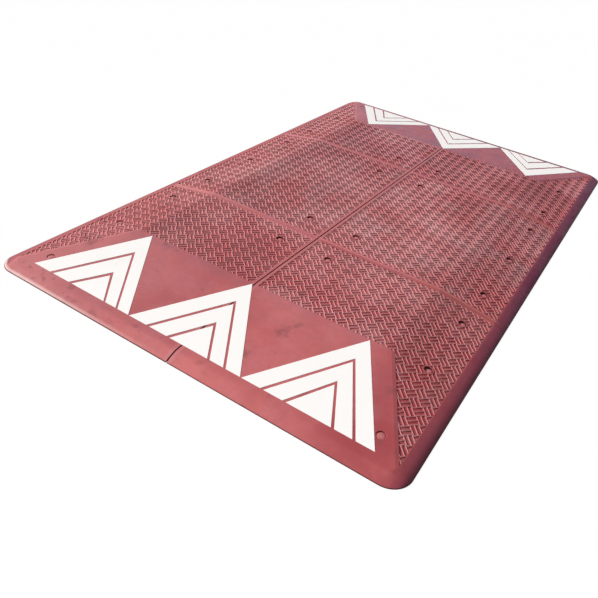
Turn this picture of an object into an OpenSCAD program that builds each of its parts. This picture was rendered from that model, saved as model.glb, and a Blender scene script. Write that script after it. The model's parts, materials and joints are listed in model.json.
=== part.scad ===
// Modular rubber speed cushion: six bolt-down rubber modules, dowelled edge to edge,
// with capped fixing holes and white arrow markings bonded to both end ramps.
// X runs across the lane, Y along the direction of travel and Z up from the road.

/* [Cushion] */
// Overall width across the lane
cushion_w = 1800; // [1500:10:2200]
// Overall length along the direction of travel
cushion_l = 3000; // [2500:10:3700]
// Height of the flat top above the road
cushion_h = 65; // [54:1:80]
// Length of each end module
end_module_l = 1000; // [830:10:1200]
// Open gap along the centre seam
centre_gap = 4; // [0.5:0.1:6]
// Gap between one row of modules and the next
row_gap = 0.5; // [0.4:0.1:2]

/* [Outer edge] */
// Height of the upright lip at the road
lip_h = 3; // [1:0.5:6]
// Width of the rounded nose around the outer edge
nose_w = 50; // [40:1:60]
// Height where the nose meets the ramps
nose_h = 24.5; // [20:0.5:30]
// Radius of the nose's arc
nose_r = 200; // [160:5:300]
// Radius of the outer corners in plan
corner_r = 80; // [66:1:100]

/* [Ramps] */
// Distance from a side edge to the flat top
side_ramp = 300; // [250:5:400]
// Distance from an end edge to the flat top
end_ramp = 520; // [430:5:640]

/* [Tread field] */
// Depth of the sunken tread field below the smooth borders
tread_depth = 3.5; // [2:0.5:6]
// Smooth border between the nose of an outer side and the tread
side_border = 2; // [0:0.5:20]
// Smooth border along the centre seam
centre_border = 15; // [10:1:30]
// Smooth border of an end module along its row seam
end_row_border = 25; // [10:1:40]
// Smooth border of a middle module along its row seams
middle_row_border = 10; // [6:1:30]
// How far the tread reaches down each end ramp
tread_lead = 10; // [0:1:14]
// Smooth border beside the hip between a side ramp and an end ramp
hip_border = 14; // [4:1:20]
// Diameter of the smooth pad around each fixing hole
pad_d = 42; // [38:1:56]

/* [Fixing holes] */
// Diameter of the bolt hole
bolt_hole_d = 20; // [16:0.5:24]
// Diameter of the counterbore for the bolt head and its washer
counterbore_d = 33; // [28:1:38]
// Height of the counterbore floor above the road
seat_h = 12; // [10:1:16]
// Distance of the outer holes from the side edge
hole_from_side = 150; // [120:5:200]
// Distance of the inner holes from the centre line
hole_from_centre = 125; // [80:5:180]
// Distance of the corner holes from the end edge
hole_from_end = 150; // [120:5:200]
// Distance of the second outer holes from the end edge
hole_from_end_2 = 525; // [440:5:640]
// Distance of the row holes from their row seam
hole_from_row = 130; // [100:5:180]

/* [Hole caps] */
// Height of the upright side of a cap
cap_side_h = 6; // [4:0.5:8]
// Rise of a cap's domed top
cap_dome = 3; // [1.5:0.5:4]
// Radial clearance of a cap in its counterbore
cap_clear = 0.3; // [0.2:0.05:0.5]
// Depth of a cap's crown below the rubber around it
cap_sink = 5; // [1:0.5:8]
// Depth of a corner cap's crown below the rubber around it
corner_cap_sink = 1; // [0.5:0.5:2]

/* [Dowels] */
// Diameter of the dowels that join the modules
dowel_d = 20; // [12:1:24]
// Length of a dowel
dowel_l = 120; // [80:5:160]
// Height of the dowel axes above the road
dowel_z = 24; // [16:1:30]
// Radial clearance of a dowel in its socket
dowel_clear = 0.3; // [0.2:0.05:0.5]
// Clearance beyond each end of a dowel
dowel_end_clear = 1; // [0.5:0.5:4]
// Distance of the first row dowel from the centre line
row_dowel_from_centre = 220; // [160:5:300]
// Spacing between the two row dowels of a module
row_dowel_pitch = 280; // [150:5:350]
// Distance of the centre dowels from the row seam
centre_dowel_from_row = 150; // [120:5:200]
// Spacing between the two centre dowels of an end module
centre_dowel_pitch = 450; // [200:5:550]

/* [Arrow markings] */
// Distance of the arrow bases from the end edge
arrow_from_end = 82; // [66:1:100]
// Rubber left showing between an arrow's tip and the flat top
arrow_tip_gap = 16; // [14:1:60]
// Rubber left showing between neighbouring arrows, along the base
arrow_gap = 5; // [2:0.5:40]
// Rubber left showing between an outer arrow and the corner hole beside it
arrow_hole_gap = 6; // [4:0.5:40]
// Width of the outer band, along the base
outer_band = 72; // [50:1:85]
// Width of the middle band, along the base
middle_band = 70; // [50:1:85]
// Width of the rubber left showing between the bands, along the base
band_gap = 13; // [6:1:18]
// Sideways drift of the centre arrow's inner bands for each millimetre of inset
band_drift = 0.16; // [0:0.01:0.3]
// How much that drift falls from each arrow to the next one on its right
drift_step = 0.09; // [0:0.01:0.12]
// How much longer the inner bands are on each next arrow for each millimetre of inset
band_stretch = 0.11; // [0:0.01:0.15]
// Lean of every arrow's tip to the left
tip_lean = 8; // [0:1:15]
// Lean of the outer arrows' tips away from the centre
tip_fan = 18; // [0:1:25]
// Thickness of the marking sheet
arrow_t = 1; // [0.5:0.1:1.5]
// Thickness of the glue line under the sheet
glue_t = 0.1; // [0.05:0.05:0.3]

/* [Hidden] */
rubber_red = [0.63, 0.30, 0.31];
sheet_white = [0.94, 0.94, 0.92];
dowel_grey = [0.62, 0.64, 0.66];
nose_fn = 360;
round_fn = 96;
past = 1;
half_w = cushion_w / 2;
half_l = cushion_l / 2;
row_y = half_l - end_module_l;
inner_x = centre_gap / 2;
end_inner_y = row_y + row_gap / 2;
middle_outer_y = row_y - row_gap / 2;

// The nose's arc runs from the top of the lip to the foot of the ramps
nose_rise = nose_h - lip_h;
nose_chord = sqrt(nose_w * nose_w + nose_rise * nose_rise);
nose_tilt = atan2(nose_rise, nose_w);
nose_drop = sqrt(nose_r * nose_r - nose_chord * nose_chord / 4);
nose_centre = [
    nose_w / 2 + nose_drop * sin(nose_tilt),
    (lip_h + nose_h) / 2 - nose_drop * cos(nose_tilt)
];

// Rise of each ramp for each millimetre inwards
side_slope = (cushion_h - nose_h) / (side_ramp - nose_w);
end_slope = (cushion_h - nose_h) / (end_ramp - nose_w);

// The hip is the line where a side ramp meets an end ramp
hip_slope = (end_ramp - nose_w) / (side_ramp - nose_w);
hip_shift = hip_border * sqrt(1 + hip_slope * hip_slope);
field_outer_x = half_w - nose_w - side_border;
field_end_y = half_l - end_ramp + tread_lead;
field_hip_x = half_w - side_ramp + (tread_lead + hip_shift) / hip_slope;
field_hip_y = field_end_y + hip_slope * (field_outer_x - field_hip_x);
field_inner_x = inner_x + centre_border;

outer_hole_x = half_w - hole_from_side;
end_holes = [
    [outer_hole_x, half_l - hole_from_end],
    [outer_hole_x, half_l - hole_from_end_2],
    [outer_hole_x, row_y + hole_from_row],
    [hole_from_centre, row_y + hole_from_row]
];
middle_holes = [
    [outer_hole_x, row_y - hole_from_row],
    [outer_hole_x, 0],
    [outer_hole_x, hole_from_row - row_y],
    [hole_from_centre, row_y - hole_from_row],
    [hole_from_centre, hole_from_row - row_y]
];

cap_r = counterbore_d / 2 - cap_clear;
cap_dome_r = (cap_r * cap_r + cap_dome * cap_dome) / (2 * cap_dome);
cap_h = cap_side_h + cap_dome;

row_dowel_xs = [row_dowel_from_centre, row_dowel_from_centre + row_dowel_pitch];
end_dowel_y = row_y + centre_dowel_from_row;
end_dowel_ys = [end_dowel_y, end_dowel_y + centre_dowel_pitch];
middle_dowel_y = row_y - centre_dowel_from_row;
middle_dowel_ys = [-middle_dowel_y, middle_dowel_y];

// Three arrows fill the ramp between the corner holes, and their sloping sides pass those holes
arrow_l = end_ramp - arrow_from_end - arrow_tip_gap;
corner_hole_rise = (hole_from_end - arrow_from_end) / arrow_l;
arrow_side_x = outer_hole_x - counterbore_d / 2 - arrow_hole_gap;
side_lean = corner_hole_rise * (tip_fan + tip_lean);
arrow_w = (arrow_side_x - arrow_gap - side_lean) / (1.5 - corner_hole_rise / 2);
arrow_pitch = arrow_w + arrow_gap;
middle_inset = outer_band + band_gap;
tip_inset = middle_inset + middle_band + band_gap;

// Sweeps a section along the right-hand side; section X runs inwards from the side edge
module along_side(y_from, y_to) {
    translate([half_w, y_to, 0])
        mirror([1, 0, 0])
            rotate([90, 0, 0])
                linear_extrude(y_to - y_from)
                    children();
}

// Sweeps a section along the rear end; section X runs inwards from the end edge
module along_end(x_from, x_to) {
    translate([x_from, half_l, 0])
        mirror([0, 1, 0])
            rotate([90, 0, 90])
                linear_extrude(x_to - x_from)
                    children();
}

// Section of the rounded nose, as deep as the corners are round
module nose_arc() {
    intersection() {
        translate(nose_centre)
            circle(r = nose_r, $fn = nose_fn);
        square([corner_r, cushion_h]);
    }
}

// Section of the nose and of the space for the ramps further in
module nose_section(reach) {
    nose_arc();
    translate([corner_r, 0])
        square([reach - corner_r, cushion_h]);
}

// Section of a ramp that reaches the flat top at the distance run from its edge
module ramp_section(run, slope, reach) {
    polygon([
        [0, 0],
        [reach, 0],
        [reach, cushion_h],
        [run, cushion_h],
        [0, nose_h - nose_w * slope]
    ]);
}

// Section of the space above the sunken floor of the tread field
module tread_section() {
    floor_at_edge = nose_h - nose_w * side_slope - tread_depth;
    polygon([
        [0, floor_at_edge],
        [side_ramp, cushion_h - tread_depth],
        [half_w, cushion_h - tread_depth],
        [half_w, cushion_h + past],
        [0, cushion_h + past]
    ]);
}

// Nose of an end module, carried round the corner
module end_nose() {
    along_side(end_inner_y, half_l - corner_r)
        nose_section(half_w - inner_x);
    along_end(inner_x, half_w - corner_r)
        nose_section(half_l - end_inner_y);
    translate([half_w - corner_r, half_l - corner_r, 0])
        rotate_extrude(angle = 90, $fn = nose_fn)
            translate([corner_r, 0])
                mirror([1, 0])
                    nose_arc();
}

// Sunken tread field over a plan outline, with a pad left standing around each hole
module tread_field(holes) {
    intersection() {
        along_side(-half_l, half_l)
            tread_section();
        linear_extrude(cushion_h + past)
            difference() {
                children();
                for (hole = holes)
                    translate(hole)
                        circle(d = pad_d, $fn = round_fn);
            }
    }
}

// Bolt holes with their counterbores
module fixing_holes(holes) {
    for (hole = holes)
        translate([hole.x, hole.y, 0]) {
            translate([0, 0, -past])
                cylinder(d = bolt_hole_d, h = seat_h + 2 * past, $fn = round_fn);
            translate([0, 0, seat_h])
                cylinder(d = counterbore_d, h = cushion_h, $fn = round_fn);
        }
}

// Height of the smooth rubber at a place on the right-hand side
function top_at(place) =
    let (side = nose_h + (half_w - place.x - nose_w) * side_slope)
    let (end = nose_h + (half_l - abs(place.y) - nose_w) * end_slope)
    min(cushion_h, side, end);

// Round bars across the row seam, grown by the clearances for their sockets
module row_bars(clear, end_clear) {
    length = dowel_l + 2 * end_clear;
    for (x = row_dowel_xs)
        translate([x, row_y + length / 2, dowel_z])
            rotate([90, 0, 0])
                cylinder(d = dowel_d + 2 * clear, h = length, $fn = round_fn);
}

// Round bars across the centre seam, grown by the clearances for their sockets
module centre_bars(ys, clear, end_clear) {
    length = dowel_l + 2 * end_clear;
    for (y = ys)
        translate([-length / 2, y, dowel_z])
            rotate([0, 90, 0])
                cylinder(d = dowel_d + 2 * clear, h = length, $fn = round_fn);
}

// End module, drawn as the rear right one
module end_module() {
    color(rubber_red)
        difference() {
            intersection() {
                along_side(end_inner_y, half_l)
                    ramp_section(side_ramp, side_slope, half_w - inner_x);
                along_end(inner_x, half_w)
                    ramp_section(end_ramp, end_slope, half_l - end_inner_y);
                end_nose();
            }
            tread_field(end_holes)
                polygon([
                    [field_inner_x, end_inner_y + end_row_border],
                    [field_outer_x, end_inner_y + end_row_border],
                    [field_outer_x, field_hip_y],
                    [field_hip_x, field_end_y],
                    [field_inner_x, field_end_y]
                ]);
            fixing_holes(end_holes);
            row_bars(dowel_clear, dowel_end_clear);
            centre_bars(end_dowel_ys, dowel_clear, dowel_end_clear);
        }
}

// Middle module, drawn as the right-hand one
module middle_module() {
    field_y = middle_outer_y - middle_row_border;
    color(rubber_red)
        difference() {
            along_side(-middle_outer_y, middle_outer_y)
                intersection() {
                    ramp_section(side_ramp, side_slope, half_w - inner_x);
                    nose_section(half_w - inner_x);
                }
            tread_field(middle_holes)
                translate([field_inner_x, -field_y])
                    square([field_outer_x - field_inner_x, 2 * field_y]);
            fixing_holes(middle_holes);
            row_bars(dowel_clear, dowel_end_clear);
            mirror([0, 1, 0])
                row_bars(dowel_clear, dowel_end_clear);
            centre_bars(middle_dowel_ys, dowel_clear, dowel_end_clear);
        }
}

// Domed cap that closes a counterbore, with its crown at a depth below the rubber
module cap(hole, sink) {
    translate([hole.x, hole.y, top_at(hole) - sink - cap_h])
        intersection() {
            cylinder(r = cap_r, h = cap_h, $fn = round_fn);
            translate([0, 0, cap_h - cap_dome_r])
                sphere(r = cap_dome_r, $fn = round_fn);
        }
}

// Caps of an end module, drawn at the rear right
module end_caps() {
    color(rubber_red)
        for (i = [0 : len(end_holes) - 1])
            cap(end_holes[i], i == 0 ? corner_cap_sink : cap_sink);
}

// Caps of a middle module, drawn at the right
module middle_caps() {
    color(rubber_red)
        for (hole = middle_holes)
            cap(hole, cap_sink);
}

// Pair of dowels across a row seam, drawn at the rear right
module row_dowels() {
    color(dowel_grey)
        row_bars(0, 0);
}

// Pair of dowels across the centre seam
module centre_dowels(ys) {
    color(dowel_grey)
        centre_bars(ys, 0, 0);
}

// Corners of an arrow's outline at an inset from its outer edge, tip second
function arrow_outline(column, inset) =
    let (half = arrow_w / 2 - inset)
    let (tip = arrow_l * half / (arrow_w / 2) + band_stretch * column * inset)
    let (drift = (band_drift - drift_step * column) * inset)
    let (lean = (tip_fan * column - tip_lean) * tip / arrow_l)
    [[drift - half, 0], [drift + lean, tip], [drift + half, 0]];

// Outline of the band between two insets
function band_outline(column, outer, inner) =
    let (outside = arrow_outline(column, outer))
    let (inside = arrow_outline(column, inner))
    concat(outside, [inside[2], inside[1], inside[0]]);

// One sheet of an arrow on the front ramp; the column runs from -1 on the left to 1
module arrow_sheet(column, outline) {
    low = arrow_from_end - past;
    high = arrow_from_end + arrow_l + past;
    low_z = nose_h + (low - nose_w) * end_slope + glue_t;
    high_z = nose_h + (high - nose_w) * end_slope + glue_t;
    color(sheet_white)
        intersection() {
            translate([column * arrow_pitch, arrow_from_end - half_l, 0])
                linear_extrude(cushion_h + arrow_l)
                    polygon(outline);
            mirror([0, 1, 0])
                along_end(-half_w, half_w)
                    polygon([[low, low_z], [high, high_z], [high, high_z + arrow_t], [low, low_z + arrow_t]]);
        }
}

module outer_chevron(column) {
    arrow_sheet(column, band_outline(column, 0, outer_band));
}

module middle_chevron(column) {
    arrow_sheet(column, band_outline(column, middle_inset, middle_inset + middle_band));
}

module triangle(column) {
    arrow_sheet(column, arrow_outline(column, tip_inset));
}

module front_left_module() {
    rotate([0, 0, 180])
        end_module();
}

module front_right_module() {
    mirror([0, 1, 0])
        end_module();
}

module middle_left_module() {
    mirror([1, 0, 0])
        middle_module();
}

module rear_left_module() {
    mirror([1, 0, 0])
        end_module();
}

module front_left_hole_caps() {
    rotate([0, 0, 180])
        end_caps();
}

module front_right_hole_caps() {
    mirror([0, 1, 0])
        end_caps();
}

module middle_left_hole_caps() {
    mirror([1, 0, 0])
        middle_caps();
}

module rear_left_hole_caps() {
    mirror([1, 0, 0])
        end_caps();
}

module front_left_row_dowels() {
    rotate([0, 0, 180])
        row_dowels();
}

module front_right_row_dowels() {
    mirror([0, 1, 0])
        row_dowels();
}

module rear_left_row_dowels() {
    mirror([1, 0, 0])
        row_dowels();
}

module front_centre_dowels() {
    mirror([0, 1, 0])
        centre_dowels(end_dowel_ys);
}

// Turns the front arrows round to the rear end
module at_rear() {
    rotate([0, 0, 180])
        children();
}

front_left_module();
front_right_module();
middle_left_module();
middle_module();  // middle_right_module
rear_left_module();
end_module();  // rear_right_module
front_left_hole_caps();
front_right_hole_caps();
middle_left_hole_caps();
middle_caps();  // middle_right_hole_caps
rear_left_hole_caps();
end_caps();  // rear_right_hole_caps
front_left_row_dowels();
front_right_row_dowels();
rear_left_row_dowels();
row_dowels();  // rear_right_row_dowels
front_centre_dowels();
centre_dowels(middle_dowel_ys);  // middle_centre_dowels
centre_dowels(end_dowel_ys);  // rear_centre_dowels
outer_chevron(-1);  // front_left_outer_chevron
middle_chevron(-1);  // front_left_middle_chevron
triangle(-1);  // front_left_triangle
outer_chevron(0);  // front_centre_outer_chevron
middle_chevron(0);  // front_centre_middle_chevron
triangle(0);  // front_centre_triangle
outer_chevron(1);  // front_right_outer_chevron
middle_chevron(1);  // front_right_middle_chevron
triangle(1);  // front_right_triangle
at_rear() outer_chevron(1);  // rear_left_outer_chevron
at_rear() middle_chevron(1);  // rear_left_middle_chevron
at_rear() triangle(1);  // rear_left_triangle
at_rear() outer_chevron(0);  // rear_centre_outer_chevron
at_rear() middle_chevron(0);  // rear_centre_middle_chevron
at_rear() triangle(0);  // rear_centre_triangle
at_rear() outer_chevron(-1);  // rear_right_outer_chevron
at_rear() middle_chevron(-1);  // rear_right_middle_chevron
at_rear() triangle(-1);  // rear_right_triangle
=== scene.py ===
import json
import math
from types import SimpleNamespace

import bmesh
import bpy
from mathutils import Matrix, Vector


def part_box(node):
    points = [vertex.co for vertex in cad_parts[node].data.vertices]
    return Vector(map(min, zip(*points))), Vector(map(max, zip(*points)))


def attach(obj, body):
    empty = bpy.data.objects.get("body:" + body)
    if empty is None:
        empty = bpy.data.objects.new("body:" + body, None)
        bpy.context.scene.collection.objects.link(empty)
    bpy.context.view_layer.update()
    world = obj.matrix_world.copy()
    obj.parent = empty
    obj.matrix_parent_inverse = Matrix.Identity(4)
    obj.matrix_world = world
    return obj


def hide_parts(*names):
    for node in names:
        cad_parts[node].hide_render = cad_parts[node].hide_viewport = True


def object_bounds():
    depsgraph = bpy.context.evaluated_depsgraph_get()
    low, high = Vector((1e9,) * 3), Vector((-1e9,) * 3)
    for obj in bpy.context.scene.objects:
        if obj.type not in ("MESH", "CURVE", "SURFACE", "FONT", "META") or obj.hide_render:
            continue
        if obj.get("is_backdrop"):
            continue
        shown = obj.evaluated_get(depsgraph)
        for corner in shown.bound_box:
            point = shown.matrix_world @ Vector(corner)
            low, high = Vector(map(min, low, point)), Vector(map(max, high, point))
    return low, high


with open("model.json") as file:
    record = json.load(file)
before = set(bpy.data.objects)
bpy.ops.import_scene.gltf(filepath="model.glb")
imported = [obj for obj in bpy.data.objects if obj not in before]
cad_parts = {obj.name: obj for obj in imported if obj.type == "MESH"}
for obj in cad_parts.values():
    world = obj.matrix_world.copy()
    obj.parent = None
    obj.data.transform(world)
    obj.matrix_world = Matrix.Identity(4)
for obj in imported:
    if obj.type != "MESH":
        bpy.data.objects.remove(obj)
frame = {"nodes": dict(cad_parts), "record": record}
cad_low, cad_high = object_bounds()

# Rubber modules
# Six solid mouldings of recycled red rubber, bolted to the road and dowelled edge to edge.
# Ramps, noses and borders are smooth; the sunken fields carry a basket weave of raised bars.
half_w = cad_high.x
half_l = cad_high.y
crown_z = cad_high.z
row_y = (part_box("middle_right_module")[1].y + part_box("rear_right_module")[0].y) / 2
nose_w = 0.050
nose_h = 0.0245
side_ramp = 0.300
end_ramp = 0.520
side_run = side_ramp - nose_w
end_run = end_ramp - nose_w
side_slope = (crown_z - nose_h) / side_run
end_slope = (crown_z - nose_h) / end_run
crease_x = half_w - side_ramp
foot_y = half_l - nose_w

tread_depth = 0.0035
side_border = 0.052
seam_border = 0.017
end_row_border = 0.02525
middle_row_border = 0.01025
tread_lead = 0.010
hip_border = 0.014

mm_per_metre = 1000
pad_r = 0.021
hole_wall_r = 0.0167
ramp_hole_zone = 0.200
# Shares of dirt and painted shade at the holes on the end ramps and by the washed place.
ramp_hole_dirt_and_shade = 0.4
washed_x = -0.600
washed_y = -0.900
washed_hole_dirt_and_shade = 0.2

weave_pitch = 0.052
weave_phase = Vector((-0.002, -0.006, 0))
weave_spare = 1
bars_in_group = 3
bar_pitch = 0.0162
bar_w = 0.0072
bar_top_w = 0.0026
bar_l = 2 * (weave_pitch / math.sqrt(2) - bar_pitch) - bar_top_w
bar_drop = 0.0002
bar_root = 0.0006
bar_round = 0.0006
bar_sliver = 0.005

weld_gap = 1e-6
flat_angle = math.radians(0.2)
facing_up = 0.5
rim_round = 0.0014
rim_angle = math.radians(40)
crease_angle = math.radians(4.4)
foot_blend = 0.026
foot_gap = 1e-4


def smooth_top(x, y):
    """Height of the smooth top of the mouldings, inside the noses."""
    side = nose_h + (half_w - abs(x) - nose_w) * side_slope
    end = nose_h + (half_l - abs(y) - nose_w) * end_slope
    return min(crown_z, side, end)


def only_verts(geom):
    return [g for g in geom if isinstance(g, bmesh.types.BMVert)]


def whole(bm):
    return list(bm.verts) + list(bm.edges) + list(bm.faces)


def repeat(bm, step, count):
    """Copies everything so far along a step, so that it stands count times."""
    first = whole(bm)
    for i in range(1, count):
        copy = bmesh.ops.duplicate(bm, geom=first)["geom"]
        bmesh.ops.translate(bm, verts=only_verts(copy), vec=step * i)


def turn(bm, verts, degrees):
    """Turns vertices about the upright axis through the origin."""
    about_z = Matrix.Rotation(math.radians(degrees), 3, "Z")
    bmesh.ops.rotate(bm, verts=verts, cent=(0, 0, 0), matrix=about_z)


def round_edges(bm, edges, size, segments=2, clamp=True):
    """Rounds edges off, with clamp where neighbouring rounds could meet."""
    bmesh.ops.bevel(
        bm, geom=edges, offset=size, offset_type="OFFSET", segments=segments,
        profile=0.5, affect="EDGES", clamp_overlap=clamp, material=-1,
    )


def close_cuts(bm):
    """Closes the ends that a cut has left open."""
    bmesh.ops.holes_fill(bm, edges=[e for e in bm.edges if e.is_boundary], sides=0)


def within(corners, place):
    """Whether a place lies inside an outline."""
    inside = False
    for a, b in zip(corners, corners[1:] + corners[:1]):
        if (a.y > place.y) != (b.y > place.y):
            if place.x < a.x + (b.x - a.x) * (place.y - a.y) / (b.y - a.y):
                inside = not inside
    return inside


def islands(bm):
    """Vertices of each separate bar."""
    left = set(bm.verts)
    while left:
        island = [left.pop()]
        for vert in island:
            for edge in vert.link_edges:
                other = edge.other_vert(vert)
                if other in left:
                    left.remove(other)
                    island.append(other)
        yield island


def weave(low, high):
    """Bars of the basket weave over a rectangle, with their roots below z = 0."""
    bm = bmesh.new()
    bmesh.ops.create_cube(bm, size=1)
    bar_h = tread_depth - bar_drop + bar_root
    bmesh.ops.scale(bm, verts=bm.verts, vec=(bar_l, bar_w, bar_h))
    bmesh.ops.translate(bm, verts=bm.verts, vec=(0, 0, bar_h / 2 - bar_root))
    crest = [v for v in bm.verts if v.co.z > 0]
    bmesh.ops.scale(bm, verts=crest, vec=(1, bar_top_w / bar_w, 1))
    top_edges = [e for e in bm.edges if all(v.co.z > 0 for v in e.verts)]
    long_edges = [e for e in top_edges if e.calc_length() > bar_w]
    round_edges(bm, long_edges, bar_round, segments=1)
    first_bar = (bars_in_group - 1) / 2 * bar_pitch
    bmesh.ops.translate(bm, verts=bm.verts, vec=(0, -first_bar, 0))
    repeat(bm, Vector((0, bar_pitch, 0)), bars_in_group)
    turn(bm, bm.verts, -45)
    crosswise = only_verts(bmesh.ops.duplicate(bm, geom=whole(bm))["geom"])
    turn(bm, crosswise, 90)
    bmesh.ops.translate(bm, verts=crosswise, vec=(weave_pitch / 2, weave_pitch / 2, 0))
    first_x = math.floor((low.x - weave_phase.x) / weave_pitch) - weave_spare
    first_y = math.floor((low.y - weave_phase.y) / weave_pitch) - weave_spare
    last_x = math.ceil((high.x - weave_phase.x) / weave_pitch) + weave_spare
    last_y = math.ceil((high.y - weave_phase.y) / weave_pitch) + weave_spare
    start = weave_phase + Vector((first_x, first_y, 0)) * weave_pitch
    bmesh.ops.translate(bm, verts=bm.verts, vec=start)
    repeat(bm, Vector((weave_pitch, 0, 0)), last_x - first_x)
    repeat(bm, Vector((0, weave_pitch, 0)), last_y - first_y)
    return bm


def cut_around(bm, hole):
    """Cuts the bars back to the edge of the smooth pad around a hole."""
    for bar in list(islands(bm)):
        centre = sum((v.co.xy for v in bar), Vector((0, 0))) / len(bar)
        if (centre - hole.xy).length > pad_r + bar_l / 2:
            continue
        away = (centre - hole.xy).to_3d().normalized()
        links = {g for v in bar for g in (*v.link_edges, *v.link_faces)}
        bmesh.ops.bisect_plane(
            bm, geom=bar + list(links), plane_co=hole + away * pad_r, plane_no=away,
            clear_inner=True,
        )


def tread(corners, holes):
    """Bars of one field: cut at its borders and around its pads, and laid on its floor."""
    low = Vector((min(c.x for c in corners), min(c.y for c in corners), 0))
    high = Vector((max(c.x for c in corners), max(c.y for c in corners), 0))
    bm = weave(low, high)
    for a, b in zip(corners, corners[1:] + corners[:1]):
        outward = (b - a).cross(Vector((0, 0, 1)))
        bmesh.ops.bisect_plane(bm, geom=whole(bm), plane_co=a, plane_no=outward)
    outside = [f for f in bm.faces if not within(corners, f.calc_center_median())]
    bmesh.ops.delete(bm, geom=outside, context="FACES")
    close_cuts(bm)
    for hole in holes:
        cut_around(bm, hole)
    close_cuts(bm)
    for bar in list(islands(bm)):
        wide = max(v.co.x for v in bar) - min(v.co.x for v in bar)
        long = max(v.co.y for v in bar) - min(v.co.y for v in bar)
        if max(wide, long) < bar_sliver:
            bmesh.ops.delete(bm, geom=bar, context="VERTS")
    for x in (-crease_x, crease_x):
        bmesh.ops.bisect_plane(bm, geom=whole(bm), plane_co=(x, 0, 0), plane_no=(1, 0, 0))
    bar_mark = bm.verts.layers.float.new("bar")
    for vert in bm.verts:
        x, y, z = vert.co
        laid = z + smooth_top(x, 0) - tread_depth
        vert.co.z = min(laid, smooth_top(x, y) - bar_drop)
        vert[bar_mark] = 1
    bmesh.ops.recalc_face_normals(bm, faces=bm.faces)
    return bm


hole_places = []
for mount in frame["record"]["mounts"]:
    if mount["kind"] == "bolt_pattern":
        x = mount["dims"]["spacing_x_mm"] / 2 / mm_per_metre
        y = mount["dims"].get("spacing_y_mm", 0) / 2 / mm_per_metre
        hole_places += [Vector((a, b, 0)) for a in (-x, x) for b in sorted({-y, y})]


def hole_dirt_and_shade(place, washed, corner):
    """Share of dirt and painted shade at a hole: little on the near left ramps, some at the other
    corners.
    """
    if place.x < washed_x and place.y < washed_y:
        return washed
    return corner if abs(place.y) > half_l - ramp_hole_zone else 1


def shape_of(node):
    """A copy of a node's shape with its triangles joined up."""
    bm = bmesh.new()
    bm.from_mesh(frame["nodes"][node].data)
    bmesh.ops.remove_doubles(bm, verts=bm.verts, dist=weld_gap)
    return bm


def join_flats(bm):
    """Makes one face of the triangles of each flat."""
    bmesh.ops.dissolve_limit(bm, angle_limit=flat_angle, verts=bm.verts, edges=bm.edges)


def moulding(node):
    """The node's shape with its top rims rounded and the walls of its holes marked."""
    bm = shape_of(node)
    join_flats(bm)
    # A cut across each end ramp keeps the soft shading at its foot short
    for y in (foot_y - foot_blend, foot_blend - foot_y):
        bmesh.ops.bisect_plane(bm, geom=whole(bm), plane_co=(0, y, 0), plane_no=(0, 1, 0))
    rims = []
    for edge in bm.edges:
        if edge.is_convex and edge.calc_face_angle() > rim_angle:
            if max(f.normal.z for f in edge.link_faces) > facing_up:
                rims.append(edge)
    round_edges(bm, rims, rim_round, clamp=False)
    # Each hole wall carries its share of dirt and painted shade.
    hole_mark = bm.verts.layers.float.new("hole")
    for vert in bm.verts:
        if any((vert.co.xy - h.xy).length < hole_wall_r for h in hole_places):
            vert[hole_mark] = hole_dirt_and_shade(vert.co, washed_hole_dirt_and_shade, ramp_hole_dirt_and_shade)
    return bm


def soften(bm):
    """Shades the faces smooth, with creases on top except along the foot of an end ramp."""
    for face in bm.faces:
        face.smooth = True
    for edge in bm.edges:
        on_top = max(abs(f.normal.z) for f in edge.link_faces) > facing_up
        at_foot = all(abs(abs(v.co.y) - foot_y) < foot_gap for v in edge.verts)
        edge.smooth = at_foot or not (on_top and edge.calc_face_angle(0) > crease_angle)


class Shade:
    """A socket in a material's nodes that takes part in plain arithmetic."""

    def __init__(self, tree, socket=None):
        self.tree = tree
        self.socket = socket

    def node(self, kind, settings, values, output=0):
        """Adds a node, sets it up, fills or links its inputs and returns one of its outputs."""
        node = self.tree.nodes.new(kind)
        for name, setting in settings.items():
            setattr(node, name, setting)
        for name, value in values.items():
            if isinstance(value, Shade):
                self.tree.links.new(value.socket, node.inputs[name])
            else:
                node.inputs[name].default_value = value
        return Shade(self.tree, node.outputs[output])

    def math(self, operation, *values):
        return self.node("ShaderNodeMath", {"operation": operation}, dict(enumerate(values)))

    def __add__(self, other):
        return self.math("ADD", self, other)

    __radd__ = __add__

    def __sub__(self, other):
        return self.math("SUBTRACT", self, other)

    def __rsub__(self, other):
        return self.math("SUBTRACT", other, self)

    def __mul__(self, other):
        return self.math("MULTIPLY", self, other)

    __rmul__ = __mul__

    def __abs__(self):
        return self.math("ABSOLUTE", self)

    def least(self, other):
        return self.math("MINIMUM", self, other)

    def most(self, other):
        return self.math("MAXIMUM", self, other)

    def rise(self, low, high):
        """0 below low, 1 above high and a smooth step between."""
        return self.node(
            "ShaderNodeMapRange", {"interpolation_type": "SMOOTHSTEP"},
            {"Value": self, "From Min": low, "From Max": high},
        )

    def fall(self, low, high):
        """1 below low, 0 above high and a smooth step between."""
        return 1.0 - self.rise(low, high)

    def band(self, start, end):
        """Rises over the start, stays at 1 and falls again over the end."""
        return self.rise(*start) * self.fall(*end)

    def between(self, first, second):
        """The colour that this value, from 0 to 1, picks between two."""
        return self.node(
            "ShaderNodeMix", {"data_type": "RGBA"}, {0: self, 6: first, 7: second}, output=2,
        )

    def tint(self, share, other):
        """This colour turned towards another one."""
        return share.between(self, other)

    def feed(self, shader, name):
        self.tree.links.new(self.socket, shader.inputs[name])


def surface(name):
    """A new material with its main shader and its object coordinates."""
    material = bpy.data.materials.new(name)
    material.use_nodes = True
    tree = material.node_tree
    shader = tree.nodes["Principled BSDF"]
    place = Shade(tree).node("ShaderNodeTexCoord", {}, {}, output=3)
    return material, shader, place


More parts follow.
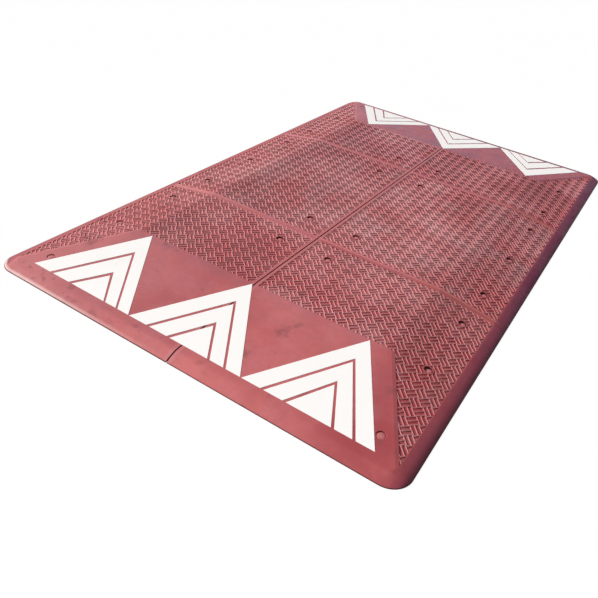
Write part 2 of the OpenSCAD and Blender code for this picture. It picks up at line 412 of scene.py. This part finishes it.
def axes(place):
    """The three coordinates of a place."""
    parted = place.node("ShaderNodeSeparateXYZ", {}, {"Vector": place}).socket.node
    return [Shade(place.tree, axis) for axis in parted.outputs]


def vertex_mark(place, name):
    """A value that the mesh carries on its vertices."""
    return place.node("ShaderNodeAttribute", {"attribute_name": name}, {}, output=2)


def noise(place, scale, detail, rough=0.5):
    return place.node(
        "ShaderNodeTexNoise", {},
        {"Vector": place, "Scale": scale, "Detail": detail, "Roughness": rough},
    )


def moved(place, shift, turned=0.0, stretch=(1, 1, 1)):
    return place.node(
        "ShaderNodeMapping", {},
        {"Vector": place, "Location": shift, "Rotation": (0, 0, turned), "Scale": stretch},
    )


def bumps(height, strength, distance):
    return height.node(
        "ShaderNodeBump", {}, {"Strength": strength, "Distance": distance, "Height": height},
    )


red_pale = (0.565, 0.156, 0.162, 1)
red_deep = (0.415, 0.094, 0.102, 1)
# A deep red for painted shade on the right side, the right hip and the left noses.
painted_shade_red = (0.310, 0.044, 0.053, 1)
red_clean = (0.390, 0.056, 0.062, 1)
red_warm = (0.580, 0.135, 0.120, 1)
# A dark red for stains, smudges and darker patches, and for painted shade along the creases.
stain_and_shade_red = (0.170, 0.062, 0.066, 1)
# A deep red for painted shade in the grooves, on the right-hand fields and beside the row bands.
painted_shade_deep_red = (0.245, 0.023, 0.029, 1)
# Near blacks for dirt and painted shade in seams, clefts and holes, and a painted shadow at the
# foot.
seam_dirt_and_shade_red = (0.075, 0.006, 0.011, 1)
dirt_and_shade_black = (0.034, 0.012, 0.014, 1)
# A bright red for painted light on sunlit ramps, the near nose and the field.
painted_light_red = (0.950, 0.290, 0.270, 1)
dust_grey = (0.430, 0.262, 0.268, 1)
# A pale pink for scuffs, scratches, dust and lighter patches, and for painted highlights on
# crests and row seam edges.
scuff_and_highlight_pink = (0.680, 0.360, 0.370, 1)
# A pale pink for painted light on the left.
painted_light_pink = (0.660, 0.330, 0.335, 1)
# A violet for painted shade towards the rear.
painted_shade_violet = (0.210, 0.088, 0.165, 1)
stain_violet = (0.330, 0.120, 0.150, 1)
# A dark violet for painted shade on the far and right noses.
painted_nose_shade_violet = (0.122, 0.020, 0.072, 1)
# A blue grey for grime blotches and an even painted shade on the rear ramp.
grime_and_shade_grey = (0.150, 0.118, 0.190, 1)
rust_brown = (0.350, 0.080, 0.052, 1)
# Wine reds for painted shade on the right nose and low along the right edge.
painted_shade_wine = (0.270, 0.030, 0.080, 1)
painted_low_shade_wine = (0.045, 0.012, 0.032, 1)
# A pale pink for a painted highlight low on the near nose.
painted_highlight_pale = (0.860, 0.610, 0.580, 1)
# A grey for a painted dark outline low on the left nose.
painted_outline_grey = (0.110, 0.055, 0.060, 1)
# A near black for a painted dark outline along the top of the rear nose.
painted_outline_black = (0.040, 0.034, 0.046, 1)
rubber_gloss = 0.15


def survey(place):
    """Where a point lies on the cushion. Every fade has its start and its end in metres."""
    at = SimpleNamespace()
    at.x, at.y, at.z = axes(place)
    at.to_left = 0.0 - at.x
    at.past_left = at.to_left - half_w
    at.past_right = at.x - half_w
    at.past_front = 0.0 - at.y - half_l
    at.past_rear = at.y - half_l
    at.from_row = abs(at.y) - row_y
    at.from_end = half_l - nose_w - abs(at.y)
    from_side = half_w - nose_w - abs(at.x)
    from_nose = from_side.least(at.from_end)
    ramp = (from_side * side_slope).least(at.from_end * end_slope) + nose_h
    depth = ramp.least(crown_z) - at.z
    inside = from_nose.rise(0.0, 0.002)
    bar = vertex_mark(place, "bar")
    at.hole = vertex_mark(place, "hole")
    at.nose = from_nose.fall(-0.012, 0.004)
    at.groove = inside * depth.rise(0.0010, 0.0030)
    at.cleft = inside * depth.rise(0.0042, 0.0070)
    at.crest = bar * depth.fall(0.0004, 0.0024)
    at.field = bar.most(at.groove)
    at.smooth = 1.0 - at.field
    at.left = at.to_left.rise(-0.1, 0.90)
    at.left_nose = at.past_left.rise(-nose_w - 0.008, -nose_w + 0.010)
    at.front = at.past_front.rise(-end_ramp - 0.010, -end_ramp + 0.020)
    at.rear = at.past_rear.rise(-end_ramp - 0.010, -end_ramp + 0.020)
    return at


def weather(place, shift):
    """Patches of wear and dirt from large to small, moved so that each module has its own."""
    own = moved(place, shift)
    streaks = moved(place, shift, turned=0.9, stretch=(9.0, 420.0, 9.0))
    wear = SimpleNamespace()
    wear.shade = noise(moved(own, (7.0, 3.0, 5.0)), scale=3.4, detail=4.0, rough=0.60)
    clean = noise(moved(own, (2.0, 5.0, 1.0)), scale=4.4, detail=5.0, rough=0.60)
    wear.clean = clean.rise(0.44, 0.66)
    wear.cloud = noise(own, scale=5.0, detail=4.0, rough=0.55).rise(0.32, 0.68)
    wear.dust = noise(own, scale=5.0, detail=5.0, rough=0.62).rise(0.42, 0.66)
    blotch = noise(moved(own, (4.0, 1.0, 2.0)), scale=11.0, detail=6.0, rough=0.68)
    wear.blotch = blotch.rise(0.44, 0.70)
    wear.smudge = noise(own, scale=13.0, detail=3.0).rise(0.61, 0.74)
    wear.fleck = noise(moved(own, (6.0, 2.0, 4.0)), scale=30.0, detail=1.0).rise(0.60, 0.68)
    wear.mottle = noise(own, scale=38.0, detail=3.0, rough=0.6).rise(0.32, 0.68)
    wear.spot = noise(moved(own, (1.0, 7.0, 3.0)), scale=46.0, detail=2.0).rise(0.69, 0.76)
    wear.scratch = noise(streaks, scale=1.0, detail=1.0).rise(0.72, 0.78)
    wear.grain = noise(own, scale=620.0, detail=2.0)
    return wear


def cloudy_red(at, wear):
    """Bare rubber, cloudy; painted light on the left, painted shade on the right, violet to the
    rear.
    """
    colour = wear.cloud.between(red_deep, red_pale)
    colour = colour.tint(wear.mottle * 0.36, red_deep)
    colour = colour.tint(wear.blotch * 0.22, stain_and_shade_red)
    # Painted light: paler towards the left.
    colour = colour.tint(at.left * 0.30, painted_light_pink)
    # Painted shade: deeper red towards the right.
    colour = colour.tint(at.x.rise(0.34, 0.68) * 0.42, painted_shade_red)
    # Painted shade: darker and violet towards the rear, broken up by blotches.
    return colour.tint(at.y.rise(-0.3, 1.5) * (0.37 + wear.blotch * 0.26), painted_shade_violet)


def trodden_and_shaded(colour, at, wear, dusty):
    """Stained borders and ramp brows, painted shade in grooves and highlight on scuffed crests,
    field dust.
    """
    brow = at.from_end.band((end_run - 0.090, end_run - 0.015), (end_run - 0.008, end_run))
    border_stain = wear.dust * 0.30 + brow * (0.20 + wear.blotch * 0.40)
    colour = colour.tint(at.smooth * wear.clean * 0.30, red_warm)
    colour = colour.tint(at.smooth * border_stain, stain_violet)
    # Painted shade in the grooves between the bars, less towards the left.
    colour = colour.tint(at.groove * (0.58 - at.left * 0.22), painted_shade_deep_red)
    # Crests paler: scuffs, and a painted highlight along the bar tops.
    colour = colour.tint(at.crest * 0.76, scuff_and_highlight_pink)
    colour = colour.tint(at.field * wear.clean * (0.50 - at.crest * 0.25), red_clean)
    return colour.tint(at.field * wear.dust * dusty, dust_grey)


def painted_sun_and_shade(colour, at, wear):
    """Painted light where the sun falls on ramps and noses, painted shade where not, and uneven.
    """
    far_right = at.x.rise(0.0, 0.7) * at.y.rise(-0.2, 1.2)
    ramp_middle = at.front * at.smooth * at.x.band((-0.1, 0.2), (0.45, 0.70))
    near_nose = at.past_front.rise(-nose_w - 0.010, -nose_w + 0.010)
    nose_middle = near_nose * (1.0 - at.left) * at.x.fall(0.05, 0.30)
    left_side = at.to_left.rise(crease_x - 0.02, crease_x + 0.08) * (1.0 - at.left_nose)
    right_side = at.x.rise(crease_x - 0.04, crease_x + 0.10)
    right_field = at.field * right_side * (1.0 - at.y.rise(-0.7, 0.6) * 0.5)
    hip_side = at.x.rise(crease_x - 0.08, crease_x + 0.10)
    hip = at.front * hip_side * (1.0 - at.nose) * at.smooth
    # Painted shade on the far right; painted light on the front ramp, the near nose and the left
    # side.
    colour = colour.tint(far_right * 0.34, painted_shade_red)
    colour = colour.tint(ramp_middle * 0.11, painted_light_red)
    colour = colour.tint(nose_middle * 0.15, painted_light_red)
    colour = colour.tint(left_side * 0.12, painted_light_red)
    # Painted shade on the right hip and on the right-hand field.
    colour = colour.tint(hip * 0.30, painted_shade_red)
    colour = colour.tint(right_field * 0.24, painted_shade_deep_red)
    colour = colour.tint(wear.shade.rise(0.50, 0.66) * (0.10 + at.field * 0.16), stain_and_shade_red)
    return colour.tint(wear.shade.fall(0.36, 0.50) * (0.06 + at.field * 0.18), scuff_and_highlight_pink)


def way_from(at, centre_x, centre_y):
    """Distance from a place on the top."""
    run_x = at.x - centre_x
    run_y = at.y - centre_y
    return at.x.math("SQRT", run_x * run_x + run_y * run_y)


def driven_over_and_shaded(colour, at, wear):
    """Painted shade by creases and rear ramp; dusty middle; washed place; grime on ramps and
    seams.
    """
    to_left_crease = at.to_left - crease_x
    to_right_crease = at.x - crease_x
    left_crease_shade = to_left_crease.band((-0.24, -0.06), (-0.04, 0.01)) * at.y.rise(-0.50, -0.30)
    right_crease_shade = to_right_crease.band((-0.24, -0.10), (0.0, 0.12))
    middle = way_from(at, 0.22, -0.30).fall(0.15, 0.60)
    washed = way_from(at, -0.18, -0.82).fall(0.10, 0.36)
    rear_ramp = at.rear * at.smooth
    front_field = at.field * at.y.fall(-0.60, -0.40)
    front_left = at.front * at.smooth * (1.0 - at.nose) * at.x.fall(-0.2, 0.0)
    row_rust = abs(at.from_row).fall(0.018, 0.026) * at.x.rise(0.38, 0.62) * at.smooth
    # Painted shade: the field darker along both creases.
    colour = colour.tint(at.field * left_crease_shade * 0.20, stain_and_shade_red)
    colour = colour.tint(at.field * right_crease_shade * 0.17, stain_and_shade_red)
    colour = colour.tint(at.field * middle * 0.16, scuff_and_highlight_pink)
    colour = colour.tint(at.field * washed * 0.16, red_clean)
    # Grime blotches on the rear ramp, over an even painted shade.
    colour = colour.tint(rear_ramp * (0.12 + wear.blotch * 0.30), grime_and_shade_grey)
    # Painted light: the front of the field a little brighter.
    colour = colour.tint(front_field * 0.05, painted_light_red)
    colour = colour.tint(front_left * 0.09, stain_violet)
    return colour.tint(row_rust * 0.42, rust_brown)


def stained(colour, at, wear):
    """Smudges, small dark spots, flecks low on the left of the ramps, and pale scratches."""
    low_fleck = wear.fleck * at.from_end.fall(0.02, 0.06) * at.left
    colour = colour.tint(wear.smudge * 0.46, stain_and_shade_red)
    colour = colour.tint(wear.spot * 0.45, stain_and_shade_red)
    colour = colour.tint(low_fleck * 0.55, stain_and_shade_red)
    return colour.tint(wear.scratch * 0.34, scuff_and_highlight_pink)


def edged(colour, at):
    """Painted highlight and rubbed edges at seams; noses in painted shade left, right and rear.
    """
    row_edge_highlight = abs(at.from_row).fall(0.0016, 0.0042)
    row_margin_shade = at.from_row.band((0.010, 0.024), (0.026, 0.032)) * at.smooth
    centre_edge = abs(at.x).fall(0.013, 0.020)
    left_rim_shade = at.left_nose * at.z.fall(0.012, 0.018)
    right_nose = at.past_right.rise(-nose_w - 0.010, -nose_w + 0.015)
    rear_nose = at.past_rear.rise(-nose_w - 0.010, -nose_w + 0.015)
    right_low = at.past_right.rise(-0.030, -0.006) * (1.0 - at.y.rise(0.8, 1.4) * 0.8)
    near_lip_highlight = at.z.band((0.0036, 0.0050), (0.0060, 0.0120)) * at.past_front.rise(-0.055, -0.035)
    far_nose_shade = right_nose.most(rear_nose) * at.y.rise(-1.2, 0.0)
    rear_rim_shade = at.past_rear.band((-0.074, -0.062), (-0.046, -0.040)) * at.x.rise(-0.4, -0.1)
    # Painted highlight along the edges at the row seams.
    colour = colour.tint(row_edge_highlight * 0.42, scuff_and_highlight_pink)
    # Painted shade on the smooth band beside the fields at the row seams.
    colour = colour.tint(row_margin_shade * 0.16, painted_shade_deep_red)
    colour = colour.tint(centre_edge * 0.16, scuff_and_highlight_pink)
    # Painted shade: the noses darker towards the left, most on the left side nose.
    colour = colour.tint(at.nose * at.left * 0.30, painted_shade_red)
    colour = colour.tint(at.left_nose * 0.60, painted_shade_red)
    # Painted shade: a dark outline low on the left nose.
    colour = colour.tint(left_rim_shade * 0.65, painted_outline_grey)
    # Painted shade: the right nose darker, most low along the right edge.
    colour = colour.tint(right_nose * 0.36, painted_shade_wine)
    colour = colour.tint(right_low * 0.55, painted_low_shade_wine)
    # Painted highlight low on the left of the near nose.
    colour = colour.tint(near_lip_highlight * at.left * 0.80, painted_highlight_pale)
    # Painted shade: the far and right noses dark violet, with a dark outline along the rear nose.
    colour = colour.tint(far_nose_shade * 0.74, painted_nose_shade_violet)
    return colour.tint(rear_rim_shade * 0.70, painted_outline_black)


def blackened(colour, at):
    """Dirt and painted shade in the seams and holes, and a painted shadow along the foot."""
    seam = abs(at.x).fall(0.0021, 0.0032)
    foot = at.z.fall(0.0024, 0.0050)
    right_foot = at.past_right.rise(-0.026, -0.010) * at.z.fall(0.003, 0.011)
    # Dirt and painted shade in the seams and on the walls of the gaps and holes.
    colour = colour.tint(at.cleft.most(seam) * 0.88, seam_dirt_and_shade_red)
    colour = colour.tint(seam * at.nose * 0.90, dirt_and_shade_black)
    # Dirt and painted shade on the hole walls.
    colour = colour.tint(at.hole * 0.92, dirt_and_shade_black)
    # A painted contact shadow along the foot; darker low along the right foot.
    colour = colour.tint(foot * 0.92, dirt_and_shade_black)
    return colour.tint(right_foot * 0.75, dirt_and_shade_black)


def rubber(name, shift, dusty):
    """Satin red rubber, fine grain, layered from bare colour to dirt, with painted light and
    shade.
    """
    material, shader, place = surface(name)
    at = survey(place)
    wear = weather(place, shift)
    colour = cloudy_red(at, wear)
    colour = trodden_and_shaded(colour, at, wear, dusty)
    colour = painted_sun_and_shade(colour, at, wear)
    colour = driven_over_and_shaded(colour, at, wear)
    colour = stained(colour, at, wear)
    colour = edged(colour, at)
    colour = blackened(colour, at)
    colour = colour.tint(wear.grain.rise(0.35, 0.65) * 0.16, red_deep)
    colour.feed(shader, "Base Color")
    rough = 0.50 + wear.mottle * 0.10 + wear.dust * 0.14 + at.groove * 0.08
    rough.feed(shader, "Roughness")
    height = wear.grain * 0.5 + wear.mottle * 0.5
    bumps(height, strength=0.35, distance=0.0006).feed(shader, "Normal")
    shader.inputs["Specular IOR Level"].default_value = rubber_gloss
    return material


hip_run = end_run / side_run
hip_shift = hip_border * math.sqrt(1 + hip_run * hip_run)
field_outer = half_w - side_border
field_end = half_l - end_ramp + tread_lead
field_hip = crease_x + (tread_lead + hip_shift) / hip_run
field_hip_end = field_end + hip_run * (field_outer - field_hip)
end_field = [
    (seam_border, row_y + end_row_border),
    (field_outer, row_y + end_row_border),
    (field_outer, field_hip_end),
    (field_hip, field_end),
    (seam_border, field_end),
]
middle_field = [
    (seam_border, middle_row_border - row_y),
    (field_outer, middle_row_border - row_y),
    (field_outer, row_y - middle_row_border),
    (seam_border, row_y - middle_row_border),
]

# Each row's side of the middle, its field on the right, and the dust on its left and right module
module_rows = (
    ("front", -1, end_field, (0.24, 0.26)),
    ("middle", 1, middle_field, (0.42, 0.56)),
    ("rear", 1, end_field, (0.30, 0.24)),
)
wear_step_x = 3.1
wear_step_y = 5.3
wear_height = 0.7

for row, y_sign, field, row_dust in module_rows:
    for side, x_sign, dusty in zip(("left", "right"), (-1, 1), row_dust):
        node = f"{row}_{side}_module"
        low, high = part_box(node)
        holes = [h for h in hole_places if low.x < h.x < high.x and low.y < h.y < high.y]
        corners = [Vector((a * x_sign, b * y_sign, 0)) for a, b in field]
        bars = tread(corners, holes)
        mesh = bpy.data.meshes.new(f"{row}_{side}_rubber")
        bars.to_mesh(mesh)
        bars.free()
        body = moulding(node)
        body.from_mesh(mesh)
        soften(body)
        body.to_mesh(mesh)
        body.free()
        shift = (wear_step_x * x_sign, wear_step_y * low.y, wear_height)
        mesh.materials.append(rubber(f"red_rubber_{row}_{side}", shift, dusty))
        piece = bpy.data.objects.new(f"{row}_{side}_rubber", mesh)
        bpy.context.scene.collection.objects.link(piece)
        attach(piece, "root")
        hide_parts(node)

# Hole caps
# Domed plugs of the same red rubber, pressed into the counterbores over the bolt heads once the
# modules are bolted down.
cap_round = 0.0008
cap_round_angle = math.radians(30)
cap_r = 0.0162
# Shares of dirt and painted shade at the cap rims on the end ramps and by the washed place.
ramp_cap_dirt_and_shade = 0.86
washed_cap_dirt_and_shade = 0.82
cap_dust = (0.470, 0.270, 0.250, 1)
cap_gloss = 0.35


def cap_rubber(name):
    """The same rubber, dusty on the crown and dark with dirt and painted shade around the rim."""
    material, shader, place = surface(name)
    out = vertex_mark(place, "out")
    cloud = noise(place, scale=60.0, detail=3.0, rough=0.6).rise(0.30, 0.70)
    grain = noise(place, scale=620.0, detail=2.0)
    colour = cloud.between(red_deep, red_pale)
    colour = colour.tint(out.fall(0.30, 0.90) * (0.12 + cloud * 0.35), cap_dust)
    # Dirt and painted shade darken the rim of each cap.
    colour = colour.tint(out.rise(0.78, 0.99) * 0.85, dirt_and_shade_black)
    colour.feed(shader, "Base Color")
    rough = 0.55 + cloud * 0.15
    rough.feed(shader, "Roughness")
    bumps(grain, strength=0.3, distance=0.0006).feed(shader, "Normal")
    shader.inputs["Specular IOR Level"].default_value = cap_gloss
    return material


cap_red = cap_rubber("cap_red")
for name in frame["nodes"]:
    if not name.endswith("_hole_caps"):
        continue
    bm = shape_of(name)
    rims = [e for e in bm.edges if e.calc_face_angle(0) > cap_round_angle]
    round_edges(bm, rims, cap_round)
    for face in bm.faces:
        face.smooth = True
    out_mark = bm.verts.layers.float.new("out")
    for vert in bm.verts:
        # How far out from the hole's centre, times its share of dirt and painted shade.
        out = min((vert.co.xy - h.xy).length for h in hole_places) / cap_r
        vert[out_mark] = out * hole_dirt_and_shade(vert.co, washed_cap_dirt_and_shade, ramp_cap_dirt_and_shade)
    mesh = bpy.data.meshes.new(f"{name}_rubber")
    bm.to_mesh(mesh)
    bm.free()
    mesh.materials.append(cap_red)
    piece = bpy.data.objects.new(f"{name}_rubber", mesh)
    bpy.context.scene.collection.objects.link(piece)
    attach(piece, "root")
    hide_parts(name)

# Seam dowels
# Plain zinc plated steel bars in blind sockets across the seams, pushed in as the modules go
# together. They keep neighbouring modules level and are out of sight once laid.
zinc_pale = (0.64, 0.65, 0.67, 1)
zinc_dull = (0.50, 0.51, 0.52, 1)


def zinc(name):
    """Dull zinc with a fine spangle and faint drawing lines."""
    material, shader, place = surface(name)
    lines = moved(place, (0, 0, 0), stretch=(60.0, 60.0, 900.0))
    drawn = noise(lines, scale=1.0, detail=3.0)
    spangle = noise(place, scale=260.0, detail=2.0).rise(0.35, 0.65)
    spangle.between(zinc_dull, zinc_pale).feed(shader, "Base Color")
    rough = 0.28 + drawn * 0.22
    rough.feed(shader, "Roughness")
    shader.inputs["Metallic"].default_value = 1.0
    return material


dowel_zinc = zinc("dowel_zinc")
for name, node in frame["nodes"].items():
    if name.endswith("_dowels"):
        node.data.materials.clear()
        node.data.materials.append(dowel_zinc)

# Arrow markings
# Preformed sheets of white road marking, cut as two chevrons and a triangle for each arrow and
# bonded to the end ramps with a thin line of glue.
sheet_round = 0.0003
white_clean = (0.940, 0.928, 0.908, 1)
white_worn = (0.800, 0.775, 0.750, 1)


def marking(name):
    """Matt white sheet with fine beads in its face and a little grey wear."""
    material, shader, place = surface(name)
    worn = noise(place, scale=7.0, detail=5.0, rough=0.65).rise(0.52, 0.80)
    beads = noise(place, scale=850.0, detail=1.0)
    colour = (worn * 0.35).between(white_clean, white_worn)
    colour.feed(shader, "Base Color")
    rough = 0.52 + worn * 0.2 + beads * 0.1
    rough.feed(shader, "Roughness")
    bumps(beads, strength=0.25, distance=0.0003).feed(shader, "Normal")
    return material


sheet_white = marking("sheet_white")
for name in frame["nodes"]:
    if not name.endswith(("_chevron", "_triangle")):
        continue
    bm = shape_of(name)
    join_flats(bm)
    rims = [e for e in bm.edges if max(f.normal.z for f in e.link_faces) > facing_up]
    round_edges(bm, rims, sheet_round)
    mesh = bpy.data.meshes.new(f"{name}_sheet")
    bm.to_mesh(mesh)
    bm.free()
    mesh.materials.append(sheet_white)
    piece = bpy.data.objects.new(f"{name}_sheet", mesh)
    bpy.context.scene.collection.objects.link(piece)
    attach(piece, "root")
    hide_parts(name)

# Studio
# A wide pale floor under soft light: a warm key from the left, a lamp at the front right and a
# pale blue surround. The floor looks white, but not below the cushion, where the seams stay dark.
floor_half = 40.0
floor_pale = (0.55, 0.55, 0.55, 1)
floor_glow = 0.88
glow_level = 1.06
dim_side = (half_w - 0.160, half_w - 0.150)
dim_end = (half_l - 0.010, half_l - 0.002)
white = (1, 1, 1, 1)
surround_blue = (0.78, 0.84, 1.0, 1)
surround_level = 0.25
key_warm = (1.0, 0.96, 0.90)
key_from = Vector((-0.82, -0.22, 0.52))
key_level = 4.5
key_spread = math.radians(6)
lamp_place = Vector((1.0, -4.4, 2.1))
lamp_aim = Vector((0.0, -1.0, 0.0))
lamp_size = 1.6
lamp_level = 16.0


def looked_at(tree):
    """1 for what the camera sees itself, in a reflection or through something clear."""
    rays = Shade(tree).node("ShaderNodeLightPath", {}, {}).socket.node.outputs
    seen, mirrored, through = (
        Shade(tree, rays[f"Is {kind} Ray"]) for kind in ("Camera", "Glossy", "Transmission")
    )
    return seen.most(mirrored).most(through)


bm = bmesh.new()
bmesh.ops.create_grid(bm, x_segments=1, y_segments=1, size=floor_half)
floor_mesh = bpy.data.meshes.new("floor")
bm.to_mesh(floor_mesh)
bm.free()
floor = bpy.data.objects.new("floor", floor_mesh)
bpy.context.scene.collection.objects.link(floor)
floor_paint, floor_shader, floor_place = surface("floor_paint")
floor_tree = floor_paint.node_tree
floor_tree.nodes.remove(floor_shader)
floor_x, floor_y = axes(floor_place)[:2]
below = abs(floor_x).fall(*dim_side) * abs(floor_y).fall(*dim_end)
glowing = looked_at(floor_tree) * floor_glow * (1.0 - below)
matt = glowing.node("ShaderNodeBsdfDiffuse", {}, {"Color": floor_pale})
glow = glowing.node("ShaderNodeEmission", {}, {"Color": white, "Strength": glow_level})
shown = glowing.node("ShaderNodeMixShader", {}, {0: glowing, 1: matt, 2: glow})
shown.feed(floor_tree.nodes["Material Output"], "Surface")
floor_mesh.materials.append(floor_paint)
floor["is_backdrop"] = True

world = bpy.data.worlds.new("surround")
bpy.context.scene.world = world
world.use_nodes = True
backed = looked_at(world.node_tree)
ambient = backed.node(
    "ShaderNodeBackground", {}, {"Color": surround_blue, "Strength": surround_level},
)
backdrop = backed.node("ShaderNodeBackground", {}, {"Color": white, "Strength": 1.0})
shown = backed.node("ShaderNodeMixShader", {}, {0: backed, 1: ambient, 2: backdrop})
shown.feed(world.node_tree.nodes["World Output"], "Surface")

key = bpy.data.objects.new("key", bpy.data.lights.new("key", "SUN"))
key.data.energy = key_level
key.data.color = key_warm
key.data.angle = key_spread
key.rotation_euler = key_from.to_track_quat("Z", "Y").to_euler()
bpy.context.scene.collection.objects.link(key)

lamp = bpy.data.objects.new("front", bpy.data.lights.new("front", "AREA"))
lamp.data.energy = lamp_level
lamp.data.size = lamp_size
lamp.location = lamp_place
lamp.rotation_euler = (lamp_place - lamp_aim).to_track_quat("Z", "Y").to_euler()
bpy.context.scene.collection.objects.link(lamp)

# Camera
# Stands to the front right of the cushion and looks down its length, tilted a little to one side.
# Its place, turn and lens are worked out from the outline of the real cushion in its picture.
camera_turn = math.radians(27.978)
camera_height = math.radians(35.742)
camera_roll = math.radians(8.133)
camera_away = 2.5194
camera_aim = Vector((0.1454, -0.8780, 0.0))
focal_pixels = 621.49
picture_pixels = 598
sensor_mm = 36.0

back = Vector((
    math.sin(camera_turn) * math.cos(camera_height),
    -math.cos(camera_turn) * math.cos(camera_height),
    math.sin(camera_height),
))
level = Vector((math.cos(camera_turn), math.sin(camera_turn), 0))
upright = back.cross(level)
across = level * math.cos(camera_roll) + upright * math.sin(camera_roll)
up = upright * math.cos(camera_roll) - level * math.sin(camera_roll)
camera_place = Matrix.Translation(camera_aim + back * camera_away)
camera_turned = Matrix((across, up, back)).transposed().to_4x4()
camera = bpy.data.objects.new("camera", bpy.data.cameras.new("camera"))
camera.data.sensor_width = sensor_mm
camera.data.lens = sensor_mm * focal_pixels / picture_pixels
camera.matrix_world = camera_place @ camera_turned
bpy.context.scene.collection.objects.link(camera)
bpy.context.scene.camera = camera
bpy.context.scene.view_settings.view_transform = "Standard"

low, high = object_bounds()
